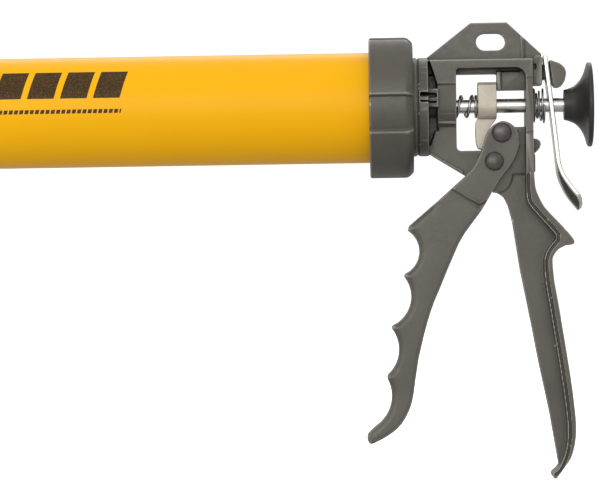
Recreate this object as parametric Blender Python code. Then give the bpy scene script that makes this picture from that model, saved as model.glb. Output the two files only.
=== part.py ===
"""Barrel sealant gun for 600 ml foil packs, at its real size, as separate working pieces.

Design frame: the push rod's axis is the X axis, +X points back to the knob, +Z is up and X = 0 is at
the rear face of the rear collar. The empty "rod_datum" carries that frame, placed so that the world's
origin is the palm saddle of the handle. Design lengths are in millimetres, and MM turns them into
Blender's metres when a mesh is made.
"""

import math

import bmesh
import bpy
from mathutils import Vector

MM = 0.001
GAP = 0.3

# barrel and the rings on its ends
BARREL_R = 27.5
BARREL_WALL = 1.5
BARREL_REAR = -6.6
BARREL_FRONT = -379.0
RING_R = 36.0
RING_LENGTH = 21.8
RING_PAD_DEPTH = 2.0
RING_PAD_ANGLE = 59.4
RING_PAD_TURN = 7.7
RING_EDGE = 2.8
RING_WALL = 2.5
COLLAR_REAR = -0.5
CAP_FRONT = BARREL_FRONT - 5.0
CAP_HOLE_R = 16.2

# nozzle
NOZZLE_FLANGE_R = 27.2
NOZZLE_BASE_R = 15.6
NOZZLE_TIP_R = 3.8
NOZZLE_LENGTH = 104.0
NOZZLE_WALL = 1.6

# push rod, piston and knob
ROD_R = 3.575
ROD_FRONT = -372.0
ROD_REAR = 84.0
PISTON_R = 25.6
PLATE_R = 24.0
NUT_FLATS = 13.0
KNOB_NECK_R = 7.5
KNOB_RIM_R = 21.0
KNOB_FRONT = 74.5
KNOB_REAR = 88.5

# body casting
HUB_R = 24.6
HUB_REAR = 6.9
BULKHEAD_R = 29.5
SPIGOT_R = 25.7
SPIGOT_FRONT = -14.0
BORE_R = ROD_R + GAP
BAR_HALF = 12.5
WEB_HALF = 5.0
BAND_HALF = 4.6
GRIP_WEB_HALF = 4.2
PLATE_HALF = 4.0
WALL_FRONT = 55.4
WALL_REAR = 58.8
WINDOW_FRONT = 20.9
WINDOW_TOP = 15.9
WINDOW_FLOOR = -22.3
BAR_UNDERSIDE = 18.5
BAR_TOP = 22.7
EYE_FRONT = 31.2
EYE_REAR = 45.8
EYE_FLOOR = 27.5
EYE_TOP = 36.2
BOSS_HALF = 11.4
BOSS_TOP = 10.8
BOSS_FRONT = 11.5
SLEEVE_R = 6.0
GUSSET_HALF = 14.0
SEAT_R = 9.0
SEAT_REAR = 60.2

# trigger
FULCRUM = (39.2, -27.9)
DRIVE_PIN = (43.1, -13.8)
EAR_GAP = WEB_HALF + GAP
EAR_HALF = 10.3
GRIP_HALF = 9.2
FORK_R = 24.5
FULCRUM_PIN_R = 3.0
FULCRUM_HEAD_R = 4.7
DRIVE_PIN_R = 2.5
DRIVE_HEAD_R = 4.9
ROLLER_R = 5.5
HEAD_HEIGHT = 2.6

# drive dog and its spring
DOG_FRONT = 31.7
DOG_REAR = 40.9
DOG_R = 8.9
DOG_TOP = 11.5
DOG_UNDERSIDE = -6.3
LEG_HALF = 4.8
RETURN_R = 5.3
RETURN_WIRE_R = 0.7
RETURN_TURNS = 4.2
RETURN_SEAT = 14.0

# release lever and its spring
LEVER_PIVOT = (65.5, 23.0)
LEVER_THICK = 2.2
LEVER_HALF = 8.0
LEVER_DISH = 4.0
LEVER_TIP = 7.0
LEVER_HOLE_R = 4.7
NECK_HALF = 4.0
RELEASE_WIRE_R = 0.5
RELEASE_R = (5.5, 8.9)
RELEASE_X = (61.1, 64.9)
RELEASE_TURNS = 2.6

PALM_SADDLE = (67.2, 0.0, -78.0)

FINISHES = {
    "yellow_lacquer": ((0.83, 0.42, 0.01), 0.25, 0.0),
    "grey_powder_coat": ((0.115, 0.108, 0.095), 0.5, 0.2),
    "bright_steel": ((0.62, 0.61, 0.58), 0.28, 1.0),
    "tan_sintered_steel": ((0.56, 0.51, 0.43), 0.5, 0.6),
    "black_plastic": ((0.035, 0.032, 0.03), 0.35, 0.0),
    "dark_rivet": ((0.1, 0.09, 0.085), 0.38, 0.7),
    "white_plastic": ((0.75, 0.74, 0.7), 0.4, 0.0),
    "grey_nylon": ((0.42, 0.43, 0.43), 0.45, 0.0),
}


# ---------------------------------------------------------------- scene, materials and placing


def clear_scene():
    for obj in list(bpy.data.objects):
        bpy.data.objects.remove(obj, do_unlink=True)


def make_material(name):
    colour, roughness, metallic = FINISHES[name]
    material = bpy.data.materials.new(name)
    material.use_nodes = True
    shader = material.node_tree.nodes["Principled BSDF"]
    shader.inputs["Base Color"].default_value = (*colour, 1.0)
    shader.inputs["Roughness"].default_value = roughness
    shader.inputs["Metallic"].default_value = metallic
    return material


def make_pivot(name, at, parent=None):
    """An empty that carries a moving group, at a point of the design frame."""
    empty = bpy.data.objects.new(name, None)
    empty.empty_display_size = 10 * MM
    bpy.context.collection.objects.link(empty)
    empty.parent = parent
    origin = Vector(parent["design_origin"]) if parent else Vector((0, 0, 0))
    empty.location = (Vector(at) - origin) * MM
    empty["design_origin"] = tuple(at)
    return empty


def place(name, mesh, parent, material=None):
    """A mesh in design millimetres becomes an object whose origin is its parent's."""
    origin = Vector(parent["design_origin"])
    mesh.transform_points(lambda p: (p - origin) * MM)
    data = bpy.data.meshes.new(name)
    mesh.bm.to_mesh(data)
    mesh.bm.free()
    data.shade_smooth()
    data.set_sharp_from_angle(angle=math.radians(35))
    obj = bpy.data.objects.new(name, data)
    bpy.context.collection.objects.link(obj)
    obj.parent = parent
    if material:
        data.materials.append(material)
    else:
        obj.hide_render = True
        obj.display_type = "WIRE"
    return obj


def combine(obj, helper, operation, solver="EXACT"):
    modifier = obj.modifiers.new(f"{operation.lower()} {helper.name}", "BOOLEAN")
    modifier.object = helper
    modifier.operation = operation
    modifier.solver = solver


# ---------------------------------------------------------------- outlines, in the XZ plane unless said


def arc(centre, radius, start, end, steps):
    """Points on a circle from one angle to another, in degrees."""
    return [
        (
            centre[0] + radius * math.cos(math.radians(start + (end - start) * i / steps)),
            centre[1] + radius * math.sin(math.radians(start + (end - start) * i / steps)),
        )
        for i in range(steps + 1)
    ]


def arc_through(a, b, c, steps):
    """Points on the circle through a, b and c, from a to c."""
    d = 2 * (a[0] * (b[1] - c[1]) + b[0] * (c[1] - a[1]) + c[0] * (a[1] - b[1]))
    sq = [p[0] ** 2 + p[1] ** 2 for p in (a, b, c)]
    x = (sq[0] * (b[1] - c[1]) + sq[1] * (c[1] - a[1]) + sq[2] * (a[1] - b[1])) / d
    z = (sq[0] * (c[0] - b[0]) + sq[1] * (a[0] - c[0]) + sq[2] * (b[0] - a[0])) / d
    radius = math.dist((x, z), a)
    first, middle, last = (math.degrees(math.atan2(p[1] - z, p[0] - x)) for p in (a, b, c))
    sweep = (last - first) % 360
    if (middle - first) % 360 > sweep:
        sweep -= 360
    return arc((x, z), radius, first, first + sweep, steps)


def curve_through(points, steps):
    """A smooth Catmull-Rom curve through the points, with the given steps between each two."""
    padded = [points[0], *points, points[-1]]
    out = []
    for a, b, c, d in zip(padded, padded[1:], padded[2:], padded[3:]):
        for i in range(steps):
            t = i / steps
            out.append(
                tuple(
                    0.5
                    * (
                        2 * q
                        + (r - p) * t
                        + (2 * p - 5 * q + 4 * r - s) * t**2
                        + (3 * q - p - 3 * r + s) * t**3
                    )
                    for p, q, r, s in zip(a, b, c, d)
                )
            )
    return [*out, tuple(points[-1])]


def box_outline(left, right, low, high):
    return [(left, low), (right, low), (right, high), (left, high)]


def stadium(left, right, low, high, steps=10):
    radius = (high - low) / 2
    middle = (high + low) / 2
    return [
        *arc((right - radius, middle), radius, -90, 90, steps),
        *arc((left + radius, middle), radius, 90, 270, steps),
    ]


def beside(line, distance):
    """The line moved sideways, to the right of its own direction."""
    moved = []
    for i, point in enumerate(line):
        a, b = line[max(i - 1, 0)], line[min(i + 1, len(line) - 1)]
        run = math.dist(a, b)
        along = ((b[0] - a[0]) / run, (b[1] - a[1]) / run)
        moved.append((point[0] + along[1] * distance, point[1] - along[0] * distance))
    return moved


# ---------------------------------------------------------------- solids, in design millimetres


class Solid:
    """One closed bmesh body."""

    def __init__(self):
        self.bm = bmesh.new()

    def closed(self):
        bmesh.ops.recalc_face_normals(self.bm, faces=self.bm.faces)
        return self

    def transform_points(self, change):
        for vert in self.bm.verts:
            vert.co = change(vert.co)


def skin(solid, rings):
    """Faces between equal rings of vertices, a ring being one vertex where the shape meets its axis."""
    for a, b in zip(rings, rings[1:]):
        count = max(len(a), len(b))
        for i in range(count):
            j = (i + 1) % count
            corners = [a[i % len(a)], a[j % len(a)], b[j % len(b)], b[i % len(b)]]
            face = list(dict.fromkeys(corners))
            if len(face) > 2:
                solid.bm.faces.new(face)


def prism(outline, half):
    """An XZ outline with a thickness along Y, the same to both sides."""
    return slab(outline, -half, half)


def slab(outline, left, right):
    """An XZ outline between two distances along Y."""
    solid = Solid()
    rings = [[solid.bm.verts.new((x, y, z)) for x, z in outline] for y in (left, right)]
    skin(solid, rings)
    for ring in rings:
        solid.bm.faces.new(ring)
    return solid.closed()


def bar_along_x(outline, left, right):
    """A YZ outline with a length along X."""
    solid = Solid()
    rings = [[solid.bm.verts.new((x, y, z)) for y, z in outline] for x in (left, right)]
    skin(solid, rings)
    for ring in rings:
        solid.bm.faces.new(ring)
    return solid.closed()


def turned(profile, steps, depth=None, closed=False):
    """A profile of (x, radius) or (x, radius, share of the pad depth) turned about the rod axis.

    depth(angle) is how far the outer surface is cut back at an angle. A closed profile makes a ring.
    """
    solid = Solid()
    angles = steps if isinstance(steps, list) else [360 * i / steps for i in range(steps)]
    rings = []
    for x, radius, *share in profile:
        if radius == 0:
            rings.append([solid.bm.verts.new((x, 0, 0))])
            continue
        ring = []
        for angle in angles:
            cut = depth(angle) * share[0] if depth and share else 0.0
            a = math.radians(angle)
            reach = radius - cut
            ring.append(solid.bm.verts.new((x, -reach * math.cos(a), reach * math.sin(a))))
        rings.append(ring)
    if closed:
        rings.append(rings[0])
    skin(solid, rings)
    if not closed:
        for ring in (rings[0], rings[-1]):
            if len(ring) > 1:
                solid.bm.faces.new(ring)
    return solid.closed()


def drill(left, right, radius, steps=32):
    """A plain round bar on the rod axis, to cut a hole with."""
    return turned([(left, 0), (left, radius), (right, radius), (right, 0)], steps)


def pin_along_y(centre, profile, steps):
    """A profile of (y, radius) turned about the Y direction through a point of the XZ plane."""
    solid = turned([(y, radius) for y, radius in profile], steps)
    solid.transform_points(lambda p: Vector((centre[0] - p.y, p.x, centre[1] + p.z)))
    return solid.closed()


def tube_along_y(centre, outer, inner, half, steps):
    profile = [(-half, inner), (-half, outer), (half, outer), (half, inner)]
    solid = turned(profile, steps, closed=True)
    solid.transform_points(lambda p: Vector((centre[0] - p.y, p.x, centre[1] + p.z)))
    return solid.closed()


def coil(name, radii, span, turns, wire_r, parent, material, per_turn=14):
    """A round-wire compression spring about the rod axis, from span[0] to span[1]."""
    origin = Vector(parent["design_origin"])
    curve = bpy.data.curves.new(name, "CURVE")
    curve.dimensions = "3D"
    curve.bevel_depth = wire_r * MM
    curve.bevel_resolution = 1
    curve.use_fill_caps = True
    steps = round(turns * per_turn)
    spline = curve.splines.new("POLY")
    spline.points.add(steps)
    for i, point in enumerate(spline.points):
        t = i / steps
        radius = radii[0] + (radii[1] - radii[0]) * t
        a = 2 * math.pi * turns * t
        at = Vector((span[0] + (span[1] - span[0]) * t, -radius * math.cos(a), radius * math.sin(a)))
        point.co = (*((at - origin) * MM), 1.0)
    curve.materials.append(material)
    obj = bpy.data.objects.new(name, curve)
    bpy.context.collection.objects.link(obj)
    obj.parent = parent
    return obj


# ---------------------------------------------------------------- barrel, rings and nozzle


def pad_angles(pad_steps=6, gap_steps=3, wall=1.2):
    """Angles round a ring: close together at the edges of its four raised pads."""
    angles = []
    for quarter in range(4):
        centre = quarter * 90 + 45 - RING_PAD_TURN
        pad = RING_PAD_ANGLE / 2
        gap_end = 90 - pad
        angles += [centre - pad + 2 * pad * i / pad_steps for i in range(pad_steps + 1)]
        angles += [
            centre + pad + wall + (gap_end - pad - 2 * wall) * i / gap_steps for i in range(gap_steps + 1)
        ]
    return angles


def pad_depth(angle):
    """The cut-back between pads: none on a pad, RING_PAD_DEPTH between two."""
    off = (angle + RING_PAD_TURN - 45 + 45) % 90 - 45
    return 0.0 if abs(off) <= RING_PAD_ANGLE / 2 + 0.01 else RING_PAD_DEPTH


def ring_solid(wall_end, open_end, hole_r):
    """A screw ring: an outer wall round the barrel and an end wall with a hole."""
    way = 1 if wall_end > open_end else -1
    bore = BARREL_R + GAP
    profile = [
        (wall_end, hole_r),
        (wall_end, RING_R - RING_EDGE, 1.0),
        (wall_end - way * RING_EDGE * 0.3, RING_R - RING_EDGE * 0.3, 1.0),
        (wall_end - way * RING_EDGE, RING_R, 1.0),
        (open_end + way * 1.0, RING_R, 1.0),
        (open_end, RING_R - 1.0, 1.0),
        (open_end, bore),
        (wall_end - way * (RING_WALL + 3.0 + GAP), bore),
        (wall_end - way * (RING_WALL + 3.0 + GAP), BULKHEAD_R + GAP),
        (wall_end - way * RING_WALL, BULKHEAD_R + GAP),
        (wall_end - way * RING_WALL, hole_r),
    ]
    return turned(profile, pad_angles(), pad_depth, closed=True)


def barrel_solid():
    inner = BARREL_R - BARREL_WALL
    profile = [(BARREL_REAR, inner), (BARREL_REAR, BARREL_R), (BARREL_FRONT, BARREL_R), (BARREL_FRONT, inner)]
    return turned(profile, 64, closed=True)


def nozzle_solid():
    """A flange that the cap clamps to the barrel's end, and a long cone with an open bore."""
    rear = BARREL_FRONT - GAP
    front = rear - 1.7
    tip = CAP_FRONT - NOZZLE_LENGTH
    profile = [
        (rear, NOZZLE_BASE_R - NOZZLE_WALL - 1),
        (rear, NOZZLE_FLANGE_R),
        (front, NOZZLE_FLANGE_R),
        (front, NOZZLE_BASE_R),
        (CAP_FRONT - 6, NOZZLE_BASE_R),
        (CAP_FRONT - 12, NOZZLE_BASE_R - 4.2),
        (CAP_FRONT - 22, NOZZLE_BASE_R - 6.2),
        (tip, NOZZLE_TIP_R),
        (tip, NOZZLE_TIP_R - NOZZLE_WALL * 0.75),
        (CAP_FRONT - 22, NOZZLE_BASE_R - 6.2 - NOZZLE_WALL),
        (CAP_FRONT - 12, NOZZLE_BASE_R - 4.2 - NOZZLE_WALL),
        (CAP_FRONT - 6, NOZZLE_BASE_R - NOZZLE_WALL - 1),
    ]
    return turned(profile, 40, closed=True)


# ---------------------------------------------------------------- body casting


def hub_solid():
    """The round front of the casting: a cup in the barrel's end, the bulkhead and the flange behind it."""
    wall = 3.0
    profile = [
        (-1.0, 0),
        (-1.0, SPIGOT_R - wall),
        (SPIGOT_FRONT, SPIGOT_R - wall),
        (SPIGOT_FRONT, SPIGOT_R),
        (BARREL_REAR + GAP, SPIGOT_R),
        (BARREL_REAR + GAP, BULKHEAD_R),
        (COLLAR_REAR - RING_WALL - GAP, BULKHEAD_R),
        (COLLAR_REAR - RING_WALL - GAP, HUB_R),
        (1.2, HUB_R),
        (1.2, HUB_R - 0.8),
        (2.2, HUB_R - 0.8),
        (2.2, HUB_R),
        (HUB_REAR, HUB_R),
        (HUB_REAR, 0),
    ]
    return turned(profile, 56)


def handle_rear_edge():
    """From the rear wall over the spur and the palm saddle down to the toe."""
    neck = [(58.8, -34.0), (59.3, -41.0), (61.0, -46.0), (64.0, -51.5)]
    spur = [(70.0, -58.0), (75.0, -63.5), (77.9, -67.3)]
    palm = [(74.2, -70.0), (70.2, -72.0), (67.9, -75.0), PALM_SADDLE[::2], (68.0, -88.0), (70.0, -100.0)]
    foot = [(75.0, -133.0), (77.0, -150.0), (77.7, -160.0), (77.0, -168.0), (75.0, -175.0), (72.0, -179.5)]
    tip = [(78.3, -68.7), (77.6, -69.7)]
    return [*curve_through([*neck, *spur], 2), *tip, *curve_through([*palm, *foot, (67.8, -185.2)], 2)]


def handle_inner_line():
    """The front face of the palm flange, from the rear wall to the toe."""
    upper = [(54.8, -34.0), (54.9, -46.0), (57.5, -51.5), (65.0, -60.0), (69.2, -65.0)]
    lower = [(69.0, -67.2), (65.3, -71.5), (63.2, -77.0), (63.5, -87.0), (65.5, -100.0), (69.0, -123.0)]
    foot = [(71.5, -140.0), (73.4, -158.0), (73.0, -169.0), (70.5, -177.0), (68.5, -180.6), (66.0, -182.6)]
    return [*curve_through(upper, 2), *curve_through([*lower, *foot], 2)]


def casting_members():
    """Name, outline and half thickness of each flat member of the casting, all in one piece."""
    disc_points = [(39.9, -43.4), (43.7, -42.5), (46.2, -40.4), (47.6, -37.8), (48.5, -34.2)]
    fulcrum_disc = curve_through(disc_points, 3)
    top_plate = [
        (5.0, WINDOW_TOP),
        (5.0, 23.2),
        (7.2, 24.9),
        (28.5, 41.4),
        (46.6, 41.4),
        (55.4, 33.1),
        (63.6, 25.4),
        (63.6, WINDOW_TOP + 2),
        (WALL_REAR, WINDOW_TOP),
    ]
    top_bar = [
        (7.7, BAR_TOP),
        (BOSS_FRONT, BOSS_TOP),
        (WINDOW_FRONT, BOSS_TOP),
        *arc((WINDOW_FRONT + 1.5, BAR_UNDERSIDE - 1.5), 1.5, 180, 90, 3),
        *arc((WALL_FRONT - 5.0, BAR_UNDERSIDE - 5.0), 5.0, 90, 0, 6),
        (WALL_REAR - 0.4, BAR_UNDERSIDE - 5.0),
        (WALL_REAR - 0.4, BAR_TOP),
    ]
    pivot_web = [
        (5.0, -22.2),
        (HUB_REAR, -23.4),
        (25.0, -34.6),
        (38.5, -43.0),
        *fulcrum_disc,
        (54.0, -34.2),
        (54.0, -28.5),
        (56.0, -28.5),
        (56.0, -10.8),
        (49.4, -10.8),
        (49.4, WINDOW_FLOOR),
        *arc((WINDOW_FRONT + 2.0, WINDOW_FLOOR + 2.0), 2.0, 270, 180, 4),
        (WINDOW_FRONT, -10.5),
        (BOSS_FRONT + 0.5, -10.5),
        (BOSS_FRONT + 0.5, -12.3),
        (10.4, -12.3),
        (HUB_REAR, -21.8),
        (5.0, -21.8),
    ]
    web_band = [(47.6, -34.2), (56.0, -34.2), (56.0, -28.5), (53.0, -28.5), (47.6, -29.0)]
    grip_web = [
        (40.5, -43.3),
        (42.2, -44.3),
        (44.0, -45.8),
        (46.0, -50.0),
        (48.0, -58.0),
        (50.0, -71.0),
        (51.5, -82.0),
        (55.0, -100.0),
        (60.0, -128.0),
        (65.0, -153.0),
        (69.2, -179.0),
        (69.3, -180.3),
        (72.0, -178.0),
        (75.0, -160.0),
        (66.0, -88.0),
        (65.5, -75.0),
        (72.0, -67.0),
        (57.0, -46.5),
        (56.0, -33.0),
        (47.0, -33.0),
        (43.0, -40.0),
    ]
    edge_rim = [(7.6, -23.2), (8.0, -23.95), (23.6, -33.6), (24.0, -32.4)]
    plate_ridge = [(53.4, BAR_TOP - 1), (54.9, BAR_TOP - 1), (54.9, 33.2), (53.4, 34.6)]
    palm_flange = [
        (WALL_FRONT, BAR_TOP - 0.4),
        (WALL_REAR, BAR_TOP - 0.4),
        *handle_rear_edge(),
        (66.4, -185.4),
        (65.8, -184.4),
        *reversed(handle_inner_line()),
    ]
    stop_lug = [(41.2, 7.7), (55.8, 7.7), (55.8, 16.8), (41.2, 16.8)]
    lug_ridge = [(41.2, 7.7), (43.1, 7.7), (43.1, 16.9), (41.2, 16.9)]
    rear_block = [(58.0, 10.0), (63.7, 10.0), (63.7, 23.2), (62.6, 24.4), (60.4, 24.4), (58.0, BAR_TOP - 1)]
    neck = [(63.0, 12.6), (71.5, 12.6), (71.5, 19.8), (63.0, 19.8)]
    horn = [
        (67.3, 22.4),
        (72.7, 20.4),
        (75.0, 18.2),
        (75.7, 15.6),
        (75.0, 12.0),
        (73.6, 9.6),
        (71.8, 8.7),
        (70.0, 8.8),
        (68.7, 10.4),
    ]
    nose_front = [(60.8, -16.9), (62.3, -18.0), (62.7, -19.6), (62.0, -21.6), (60.4, -23.4)]
    nose = [(58.0, -16.6), *nose_front, (58.0, -23.9)]
    return [
        ("top_plate", top_plate, PLATE_HALF),
        ("top_bar", top_bar, BAR_HALF),
        ("plate_ridge", plate_ridge, PLATE_HALF + 0.6),
        ("pocket_floor", box_outline(5.5, BOSS_FRONT + 1, -22.0, 22.0), 2.5),
        ("pivot_web", pivot_web, WEB_HALF),
        ("edge_rim", edge_rim, WEB_HALF + 0.5),
        ("web_band", web_band, BAND_HALF),
        ("grip_web", grip_web, GRIP_WEB_HALF),
        ("palm_flange", palm_flange, BAR_HALF - 0.3),
        ("stop_lug", stop_lug, 5.2),
        ("lug_ridge", lug_ridge, 6.0),
        ("rear_block", rear_block, 8.4),
        ("neck", neck, NECK_HALF - 0.2),
        ("horn", horn, 6.6),
        ("nose", nose, 5.6),
        ("low_pad", box_outline(58.0, 59.6, -33.5, -24.6), 9.0),
    ]


def boss_outline():
    """YZ section of the rod boss: flat sides and top, round underneath."""
    top = BOSS_TOP + 0.5
    return [(BOSS_HALF, top), (-BOSS_HALF, top), *arc((0, 0), BOSS_HALF, 180, 360, 18)]


def casting_rib_members():
    """The ribbed gusset and the sleeve round the rod, between the hub and the rod boss."""
    gusset = box_outline(HUB_REAR - 0.5, BOSS_FRONT + 0.4, -0.7, 8.3)
    return [
        ("gusset", prism(gusset, GUSSET_HALF)),
        ("rod_sleeve", drill(HUB_REAR - 0.5, BOSS_FRONT + 1, SLEEVE_R, 28)),
    ]


def casting_cutters():
    """Holes through the casting, and the slits and fine grooves in its two sides."""
    far = 40.0
    counterbore_r = RETURN_R + RETURN_WIRE_R + 0.4
    pivot_r = FULCRUM_PIN_R + GAP
    cutters = [
        ("rod_bore", drill(SPIGOT_FRONT - 1, SEAT_REAR + 3, BORE_R)),
        ("spring_counterbore", drill(RETURN_SEAT - 0.8, WINDOW_FRONT + 5, counterbore_r)),
        ("hanging_eye", prism(stadium(EYE_FRONT, EYE_REAR, EYE_FLOOR, EYE_TOP), far)),
        ("fulcrum_hole", pin_along_y(FULCRUM, [(-far, 0), (-far, pivot_r), (far, pivot_r), (far, 0)], 24)),
    ]
    slit_span = (2.7, BOSS_FRONT - 0.3)
    palm_line = handle_inner_line()
    palm_groove = [*beside(palm_line, -0.6), *reversed(beside(palm_line, -1.9))]
    side_cuts = [
        ("wall_groove", box_outline(54.0, 60.0, -14.2, -13.4), BAR_HALF - 1.0),
        ("palm_groove", palm_groove, BAR_HALF - 1.3),
        ("block_recess", box_outline(59.2, 60.8, 17.6, 20.2), 7.4),
        ("hub_slit", box_outline(*slit_span, 3.9, 6.1), GUSSET_HALF - 4.0),
        ("hub_groove", box_outline(*slit_span, 1.3, 2.2), GUSSET_HALF - 2.0),
    ]
    for name, outline, depth in side_cuts:
        cutters.append((f"{name}_left", slab(outline, -far, -depth)))
        cutters.append((f"{name}_right", slab(outline, depth, far)))
    return cutters


def make_casting(datum, material):
    """All members become one body; so many meet here that only the MANIFOLD solver keeps it closed."""
    casting = place("body_casting", hub_solid(), datum, material)
    members = [(name, prism(outline, half)) for name, outline, half in casting_members()]
    members.append(("boss", bar_along_x(boss_outline(), BOSS_FRONT, WINDOW_FRONT)))
    seat = turned([(58.0, 0), (58.0, SEAT_R), (SEAT_REAR, SEAT_R - 0.6), (SEAT_REAR, 0)], 40)
    members.append(("spring_seat", seat))
    for name, solid in [*members, *casting_rib_members()]:
        combine(casting, place(f"add_{name}", solid, datum), "UNION", "MANIFOLD")
    for name, solid in casting_cutters():
        combine(casting, place(f"cut_{name}", solid, datum), "DIFFERENCE", "MANIFOLD")
    return casting


# ---------------------------------------------------------------- trigger, its pins and the roller


def trigger_front_edge():
    """From the top of the ears down the front, with four finger grooves, to the toe."""
    ear_top = [(43.1, -7.9), (38.8, -10.0), (35.8, -13.8)]
    ear = [*ear_top, (33.8, -19.6), (31.8, -25.4), (28.8, -30.8), (25.0, -34.8)]
    grooves = [
        ((-4.2, -61.4), (1.6, -71.5), (-6.1, -83.2)),
        ((-6.2, -84.5), (-2.8, -95.2), (-12.6, -108.8)),
        ((-12.9, -110.0), (-9.3, -120.0), (-15.3, -133.4)),
        ((-15.4, -134.8), (-13.3, -145.5), (-21.5, -158.8)),
    ]
    front = curve_through(ear, 3)
    front += [(10.0, -48.0), (-3.4, -59.2)]
    for start, deepest, end in grooves:
        front += arc_through(start, deepest, end, 8)
    return [*front, (-24.2, -161.2), (-25.7, -163.0), (-25.7, -165.4), (-24.5, -167.4)]


def trigger_rear_edge():
    """From the toe up the back of the lever to the top of the ears."""
    ear = [(51.0, -22.2), (51.8, -18.6), (51.2, -14.2), (49.4, -10.8), (46.5, -8.6)]
    lever = [
        (-23.5, -167.5),
        (-18.5, -165.2),
        (-13.0, -161.8),
        (-8.5, -157.6),
        (-4.6, -150.8),
        (-2.4, -143.0),
        (0.4, -125.0),
        (6.3, -103.0),
        (11.2, -91.0),
        (20.8, -69.0),
        (26.6, -60.0),
        (32.3, -52.6),
        (35.8, -46.8),
        (39.0, -41.4),
        (42.7, -35.6),
        (46.0, -31.6),
        (48.9, -27.3),
    ]
    return curve_through([*lever, *ear, (43.6, -7.9)], 2)[:-1]


def ear_outline():
    """The thicker cheek of the trigger's fork, down to the step above the grip."""
    front = [p for p in trigger_front_edge() if p[1] > -41.0 and p[0] > 17.0]
    rear = [p for p in trigger_rear_edge() if p[1] > -49.0 and p[0] > 31.0]
    return [*front, (18.2, -41.2), (31.6, -49.6), *rear]


def make_trigger(pivot, material):
    outline = [*trigger_front_edge(), *trigger_rear_edge()]
    trigger = place("trigger", prism(outline, GRIP_HALF), pivot, material)
    combine(trigger, place("add_ears", prism(ear_outline(), EAR_HALF), pivot), "UNION")
    fork = [
        *arc(FULCRUM, FORK_R, 200, 300, 20),
        (FULCRUM[0] + 30, FULCRUM[1] - 6),
        (FULCRUM[0] + 30, FULCRUM[1] + 30),
        (FULCRUM[0] - 30, FULCRUM[1] + 30),
    ]
    cutters = [("cut_fork", prism(fork, EAR_GAP))]
    for name, centre, radius in (
        ("cut_fulcrum", FULCRUM, FULCRUM_PIN_R + GAP),
        ("cut_drive", DRIVE_PIN, DRIVE_PIN_R + GAP),
    ):
        cutters.append((name, pin_along_y(centre, [(-30, 0), (-30, radius), (30, radius), (30, 0)], 24)))
    for name, solid in cutters:
        combine(trigger, place(name, solid, pivot), "DIFFERENCE")
    return trigger


def rivet_solid(centre, shank_r, head_r):
    """A rivet through both ears with a domed head at each end."""
    seat = EAR_HALF + GAP
    dome = []
    for angle in (0, 22, 44, 66):
        a = math.radians(angle)
        dome.append((seat + HEAD_HEIGHT * math.sin(a), head_r * math.cos(a)))
    half = [(seat, shank_r), *dome, (seat + HEAD_HEIGHT, 0)]
    profile = [(-y, r) for y, r in reversed(half)] + half
    return pin_along_y(centre, profile, 28)


def make_pins(pivot, finishes):
    pins = (
        ("fulcrum_rivet", FULCRUM, FULCRUM_PIN_R, FULCRUM_HEAD_R),
        ("drive_rivet", DRIVE_PIN, DRIVE_PIN_R, DRIVE_HEAD_R),
    )
    for name, centre, shank_r, head_r in pins:
        place(name, rivet_solid(centre, shank_r, head_r), pivot, finishes["dark_rivet"])
    roller = tube_along_y(DRIVE_PIN, ROLLER_R, DRIVE_PIN_R + GAP, EAR_GAP - 0.5, 32)
    place("drive_roller", roller, pivot, finishes["bright_steel"])


# ---------------------------------------------------------------- drive dog and return spring


def dog_section():
    """YZ section of the dog's hub: round sides, a flat chamfered top and a flat underside."""
    low = math.degrees(math.asin(DOG_UNDERSIDE / DOG_R))
    right = arc((0, 0), DOG_R, low, 0, 5)
    return [*right, (DOG_R, 9.9), (DOG_R - 1.4, DOG_TOP), (1.4 - DOG_R, DOG_TOP), (-DOG_R, 9.9)] + [
        (-y, z) for y, z in reversed(right)
    ]


def make_dog(pivot, material):
    dog = place("drive_dog", bar_along_x(dog_section(), DOG_FRONT, DOG_REAR), pivot, material)
    leg = [
        (DOG_FRONT + 0.2, -4.6),
        (30.5, -8.0),
        (30.2, -14.0),
        (30.6, -19.0),
        (31.6, -21.2),
        (33.4, -21.7),
        (37.3, -21.7),
        (37.3, -11.0),
        (40.7, -6.8),
        (40.7, -4.6),
    ]
    combine(dog, place("add_dog_leg", prism(leg, LEG_HALF), pivot), "UNION")
    bore = drill(DOG_FRONT - 5, DOG_REAR + 5, BORE_R)
    combine(dog, place("cut_dog_bore", bore, pivot), "DIFFERENCE")
    return dog


# ---------------------------------------------------------------- push rod, piston and knob


def hexagon_nut(left, right):
    corner = NUT_FLATS / math.sqrt(3)
    return bar_along_x(arc((0, 0), corner, 0, 300, 5), left, right)


def disc(left, right, radius, steps=48):
    profile = [(left, BORE_R), (left, radius), (right, radius), (right, BORE_R)]
    return turned(profile, steps, closed=True)


def piston_solid(left, right):
    """A plastic piston with a shallow dished front and a thin sealing lip."""
    profile = [
        (left + 3.5, BORE_R),
        (left + 3.0, 14.0),
        (left, PISTON_R - 1.6),
        (left, PISTON_R),
        (left + 3.5, PISTON_R - 0.5),
        (right, PISTON_R - 0.5),
        (right, BORE_R),
    ]
    return turned(profile, 56, closed=True)


def knob_solid():
    """A trumpet-shaped pull knob with a blind bore for the rod's end."""
    flare = [(KNOB_FRONT, KNOB_NECK_R), (77.0, 8.2), (80.0, 9.6), (82.7, 12.4), (84.6, 16.0), (85.9, 20.4)]
    profile = [
        (ROD_REAR + GAP, 0),
        (ROD_REAR + GAP, BORE_R),
        (KNOB_FRONT, BORE_R),
        *flare,
        (86.3, KNOB_RIM_R),
        (87.9, KNOB_RIM_R),
        (KNOB_REAR - 0.3, KNOB_RIM_R - 0.9),
        (KNOB_REAR, 9.0),
        (KNOB_REAR, 0),
    ]
    return turned(profile, 48)


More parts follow.
